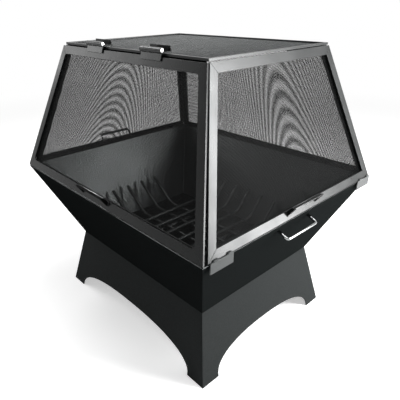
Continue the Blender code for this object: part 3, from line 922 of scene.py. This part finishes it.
def panel_axes(side):
    """Middle of a screen panel's lower edge, and its directions along, up the slope and outward."""
    outward = {"front": (-1, 0), "right": (0, -1), "left": (0, 1)}[side]
    outward = Vector((*outward, 0))
    reach = 0 if side == "front" else 1
    low = RIM_HALF[reach]
    high = RING_HALF[reach] + (DOOR_PROUD if side == "front" else 0)
    origin = Vector((BOWL_X, 0, SCREEN_LOW_Z)) + outward * low
    up = (outward * (high - low) + Vector((0, 0, SCREEN_HIGH_Z - SCREEN_LOW_Z))).normalized()
    along = Vector((-outward.y, outward.x, 0))
    return origin, along, up, along.cross(up)


def tab_runs(side, low):
    """A bead down the outer side of each of a sheet handle's two tabs."""
    origin, along, up, outward = panel_axes(side)
    runs = []
    for sign in (-1, 1):
        foot = origin + along * sign * TAB_HALF + outward * TAB_BEAD_OUT
        runs.append((foot + up * (low + TAB_BASE[0]), foot + up * (low + TAB_BASE[1]), TAB_BEAD))
    return runs


end_tabs = tab_runs("right", 0) + tab_runs("left", 0)
weld_beads("screen_handle_welds", end_tabs, handle_enamel, "screen")
weld_beads("door_handle_welds", tab_runs("front", DOOR_LOW), handle_enamel, "door")

# %% [markdown]
# ## Shade strip behind the door
# A thin near-black strip is welded under the front bar of the top ring, just behind the door's upper rail.
# It fills the gap above the rail, which from outside looks black, so it is painted shade. It is a folded
# sheet: a strip that hangs down and leans as the door does, with a short lip along its lower edge.

# %% A folded strip under the ring's front bar
HEADER_HALF = 308 * MM
HEADER_THICK = 1.5 * MM
HEADER_DROP = 12 * MM
HEADER_LIP = 4 * MM
HEADER_SETBACK = 3 * MM
HEADER_SINK = 0.4 * MM
HEADER_EDGE = 0.3 * MM


def front_header():
    """Fills the gap between the top ring and the door's upper rail with a near-black strip: painted shade.
    """
    ring_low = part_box("screen_top_ring")[0]
    lean = math.atan2(RIM_HALF.x - RING_HALF.x - DOOR_PROUD, SCREEN_HIGH_Z - SCREEN_LOW_Z)
    down = Vector((-math.sin(lean), 0, -math.cos(lean)))
    inward = Vector((math.cos(lean), 0, -math.sin(lean)))
    top = Vector((ring_low.x + HEADER_SETBACK, 0, ring_low.z - HEADER_SINK))
    profile = [top, top + down * HEADER_DROP, top + down * HEADER_DROP + inward * HEADER_LIP]
    verts = [point + Vector((0, end, 0)) for end in (-HEADER_HALF, HEADER_HALF) for point in profile]
    mesh = bpy.data.meshes.new("front_header")
    mesh.from_pydata(verts, [], [(0, 1, 4, 3), (1, 2, 5, 4)])
    # The strip takes the near-black paint, as painted shade for the gap.
    mesh.materials.append(painted_shade_black)
    header = bpy.data.objects.new("front_header", mesh)
    bpy.context.scene.collection.objects.link(header)
    sheet = header.modifiers.new("sheet", "SOLIDIFY")
    sheet.thickness = HEADER_THICK
    sheet.offset = -1.0
    rounding = header.modifiers.new("rounding", "BEVEL")
    rounding.width = HEADER_EDGE
    rounding.segments = EDGE_SEGMENTS
    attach(header, "screen")
    print("header hangs to", round(profile[1].z, 4))


front_header()

# %% [markdown]
# ## Welds of the bowl and the grate
# The polished handles are welded on at their feet and left bright. The bowl's walls are welded inside their
# corners, and the bars of the grate wherever two cross. All use the same bead, with other runs.

# %% Rings of weld at the feet of the polished handles
FOOT_RING = 5.2 * MM
FOOT_RING_SINK = 0.2 * MM
FOOT_RING_HEIGHT = 2.6 * MM
foot_runs = []
for first, last, outward in handle_feet.values():
    for foot in (first, last):
        start = foot - outward * FOOT_RING_SINK
        foot_runs.append((start, foot + outward * FOOT_RING_HEIGHT, FOOT_RING))
weld_beads("bowl_handle_welds", foot_runs, turned_pin, "base")

# %% Welds inside the bowl's corners
SEAM_BEAD = 2.2 * MM
SEAM_INSET_X = 4.532 * MM
SEAM_INSET_Y = 4.4 * MM
SEAM_LOW_Z = NECK_Z + 8 * MM
SEAM_HIGH_Z = RIM_Z - 4 * MM
seam_runs = []
for x_sign in (-1, 1):
    for y_sign in (-1, 1):
        ends = []
        for half, z in ((NECK_HALF, SEAM_LOW_Z), (RIM_HALF, SEAM_HIGH_Z)):
            x = BOWL_X + x_sign * (half.x - SEAM_INSET_X)
            ends.append(Vector((x, y_sign * (half.y - SEAM_INSET_Y), z)))
        seam_runs.append((*ends, SEAM_BEAD))
weld_beads("bowl_seam_welds", seam_runs, bowl_paint, "base")

# %% Welds where the grate's bars cross
GRATE_BEAD = 2.4 * MM
GRATE_BEAD_REACH = Vector((0, 4 * MM, 0))
GRATE_BEAD_INSET = 2 * MM
GRATE_BEAD_SINK = 0.15 * MM
cross_runs = []
for number in LONG_BARS:
    long_low, long_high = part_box(f"grate_long_bar_{number}")
    for other in CROSS_BARS:
        cross_low, cross_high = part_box(f"grate_cross_bar_{other}")
        y = (cross_low.y + cross_high.y) / 2
        for x in (long_low.x + GRATE_BEAD_INSET, long_high.x - GRATE_BEAD_INSET):
            middle = Vector((x, y, cross_low.z - GRATE_BEAD_SINK))
            cross_runs.append((middle - GRATE_BEAD_REACH, middle + GRATE_BEAD_REACH, GRATE_BEAD))
weld_beads("grate_welds", cross_runs, grate_scale, "grate")

# %% [markdown]
# ## Camera
# The photograph was taken from in front of the near corner and above, from about one and a half metres.
# The camera is placed by its direction from the object, its distance and a point that it looks at, with a
# small roll and shift that put the object at the same place in the frame.

# %% Camera at the photograph's viewing angle
VIEW_AZIMUTH = math.radians(-41.52)
VIEW_ELEVATION = math.radians(26.17)
VIEW_ROLL = math.radians(-0.96)
VIEW_DISTANCE = 1.4724
VIEW_POINT = Vector((-0.0197, 0.0257, 0.3692))
FOCAL_LENGTH_MM = 37.03
SENSOR_WIDTH_MM = 36
SHIFT = (0.0511, 0.0086)

back = Vector(
    (
        math.sin(VIEW_AZIMUTH) * math.cos(VIEW_ELEVATION),
        -math.cos(VIEW_AZIMUTH) * math.cos(VIEW_ELEVATION),
        math.sin(VIEW_ELEVATION),
    )
)
camera_data = bpy.data.cameras.new("camera")
camera_data.lens = FOCAL_LENGTH_MM
camera_data.sensor_width = SENSOR_WIDTH_MM
camera_data.shift_x, camera_data.shift_y = SHIFT
camera = bpy.data.objects.new("camera", camera_data)
bpy.context.scene.collection.objects.link(camera)
upright = back.to_track_quat("Z", "Y").to_matrix()
camera.matrix_world = (upright @ Matrix.Rotation(VIEW_ROLL, 3, "Z")).to_4x4()
camera.location = VIEW_POINT + back * VIEW_DISTANCE
bpy.context.scene.camera = camera
print("camera at", [round(value, 3) for value in camera.location])

# %% [markdown]
# ## Floor, white surround and lamps
# Product pictures of black steel are made in a white room with large soft lamps, because the paint shows
# only what it reflects. The floor is pale paper and takes the object's shadow. To rays that look for the
# background it glows a little, and far from the object it turns into plain white, as a paper sweep does.
# Turning up the lamps would whiten it as well, but would wash out the object with it.

# %% Which rays look for the background


def background_rays(tree):
    """One for rays from the camera, off gloss and through glass, and zero for rays that carry light."""
    rays = tree.nodes.new("ShaderNodeLightPath").outputs
    seen = add_node(
        tree, "ShaderNodeMath", {"operation": "MAXIMUM"}, _0=rays["Is Camera Ray"], _1=rays["Is Glossy Ray"]
    )
    seen = add_node(
        tree,
        "ShaderNodeMath",
        {"operation": "MAXIMUM"},
        _0=seen.outputs["Value"],
        _1=rays["Is Transmission Ray"],
    )
    return seen.outputs["Value"]


# %% White floor that keeps the shadow
FLOOR_HALF = 40.0
SWEEP_STARTS = 1.6
SWEEP_ENDS = 4.5
FLOOR_GLOW = 0.5
PAPER_GRAIN_MM = 4


def white_floor():
    """Pale paper near the object that fades to plain white far from it."""
    material, tree, output, place = new_material("white_paper_floor")
    distance = add_node(tree, "ShaderNodeVectorMath", {"operation": "LENGTH"}, _0=place)
    fade = add_node(
        tree,
        "ShaderNodeMapRange",
        {"interpolation_type": "SMOOTHSTEP"},
        value=distance.outputs["Value"],
        from_min=SWEEP_STARTS,
        from_max=SWEEP_ENDS,
    )
    grain = add_node(tree, "ShaderNodeTexNoise", vector=place, scale=per_metre(PAPER_GRAIN_MM), detail=2.0)
    tone = add_node(
        tree,
        "ShaderNodeMix",
        {"data_type": "RGBA"},
        _0=grain.outputs["Fac"],
        _6=linear("#f2f2f2"),
        _7=linear("#f6f6f6"),
    )
    paper = add_node(tree, "ShaderNodeBsdfDiffuse", color=tone.outputs[2])
    glow = add_node(tree, "ShaderNodeEmission", color=linear("#ffffff"), strength=FLOOR_GLOW)
    lit_paper = add_node(tree, "ShaderNodeAddShader", _0=paper.outputs[0], _1=glow.outputs[0])
    white = add_node(tree, "ShaderNodeEmission", color=linear("#ffffff"), strength=1.0)
    sweep = add_node(
        tree,
        "ShaderNodeMixShader",
        _0=fade.outputs["Result"],
        _1=lit_paper.outputs[0],
        _2=white.outputs[0],
    )
    surface = add_node(
        tree, "ShaderNodeMixShader", _0=background_rays(tree), _1=paper.outputs[0], _2=sweep.outputs[0]
    )
    tree.links.new(surface.outputs[0], output.inputs["Surface"])
    return material


bpy.ops.mesh.primitive_plane_add(size=2 * FLOOR_HALF, location=(0, 0, 0))
floor = bpy.context.object
floor.name = "floor"
floor.data.materials.append(white_floor())
print("floor", FLOOR_HALF * 2, "m wide")

# %% World: white to look at, a soft grey to be lit by
AMBIENT = 0.15
world = bpy.data.worlds.new("white_studio")
world.use_nodes = True
bpy.context.scene.world = world
tree = world.node_tree
tree.nodes.clear()
strength = add_node(
    tree, "ShaderNodeMapRange", value=background_rays(tree), to_min=AMBIENT, to_max=1.0
)
sky = add_node(
    tree, "ShaderNodeBackground", color=linear("#ffffff"), strength=strength.outputs["Result"]
)
output = tree.nodes.new("ShaderNodeOutputWorld")
tree.links.new(sky.outputs["Background"], output.inputs["Surface"])
print("ambient strength", AMBIENT)

# %% [markdown]
# ## Four soft lamps
# The photograph seems to have one strong tall lamp at the right front, because the right frame shines and
# the door's side is dark. Lamps above and behind draw the top net, the upper rails and the inside of the
# bowl out of the black. Each is an area lamp, whose size sets how soft its shadow and its reflection are.

# %% Soft lamps
LOOK_AT = Vector((0, 0, 0.55))


def softbox(name, direction, distance, width, height, power):
    """A large soft lamp that stands in a direction from the object and faces it."""
    lamp_data = bpy.data.lights.new(name, "AREA")
    lamp_data.shape = "RECTANGLE"
    lamp_data.size = width
    lamp_data.size_y = height
    lamp_data.energy = power
    lamp = bpy.data.objects.new(name, lamp_data)
    bpy.context.scene.collection.objects.link(lamp)
    away = Vector(direction).normalized()
    lamp.matrix_world = away.to_track_quat("Z", "Y").to_matrix().to_4x4()
    lamp.location = LOOK_AT + away * distance
    lamp.visible_camera = False
    print(name, "at", [round(value, 2) for value in lamp.location])
    return lamp


# Each has its direction from the object, then distance, width and height in metres, and power in watts.
softbox("right_front_softbox", (0.565, -0.825, 0.13), 2.6, 0.8, 2.3, 170)
softbox("top_softbox", (0.2, -0.25, 0.95), 2.6, 2.2, 2.2, 65)
softbox("back_top_softbox", (-0.15, 0.65, 0.74), 2.8, 1.6, 0.8, 28)
softbox("left_back_softbox", (-0.48, 0.83, 0.33), 2.8, 1.2, 0.7, 9)

# %% [markdown]
# ## View settings
# Blender's usual view bends bright colours towards grey, as film does. The Standard view shows a colour as
# it was written, so the white floor stays white.

# %% View settings
bpy.context.scene.view_settings.view_transform = "Standard"
print("view transform", bpy.context.scene.view_settings.view_transform)
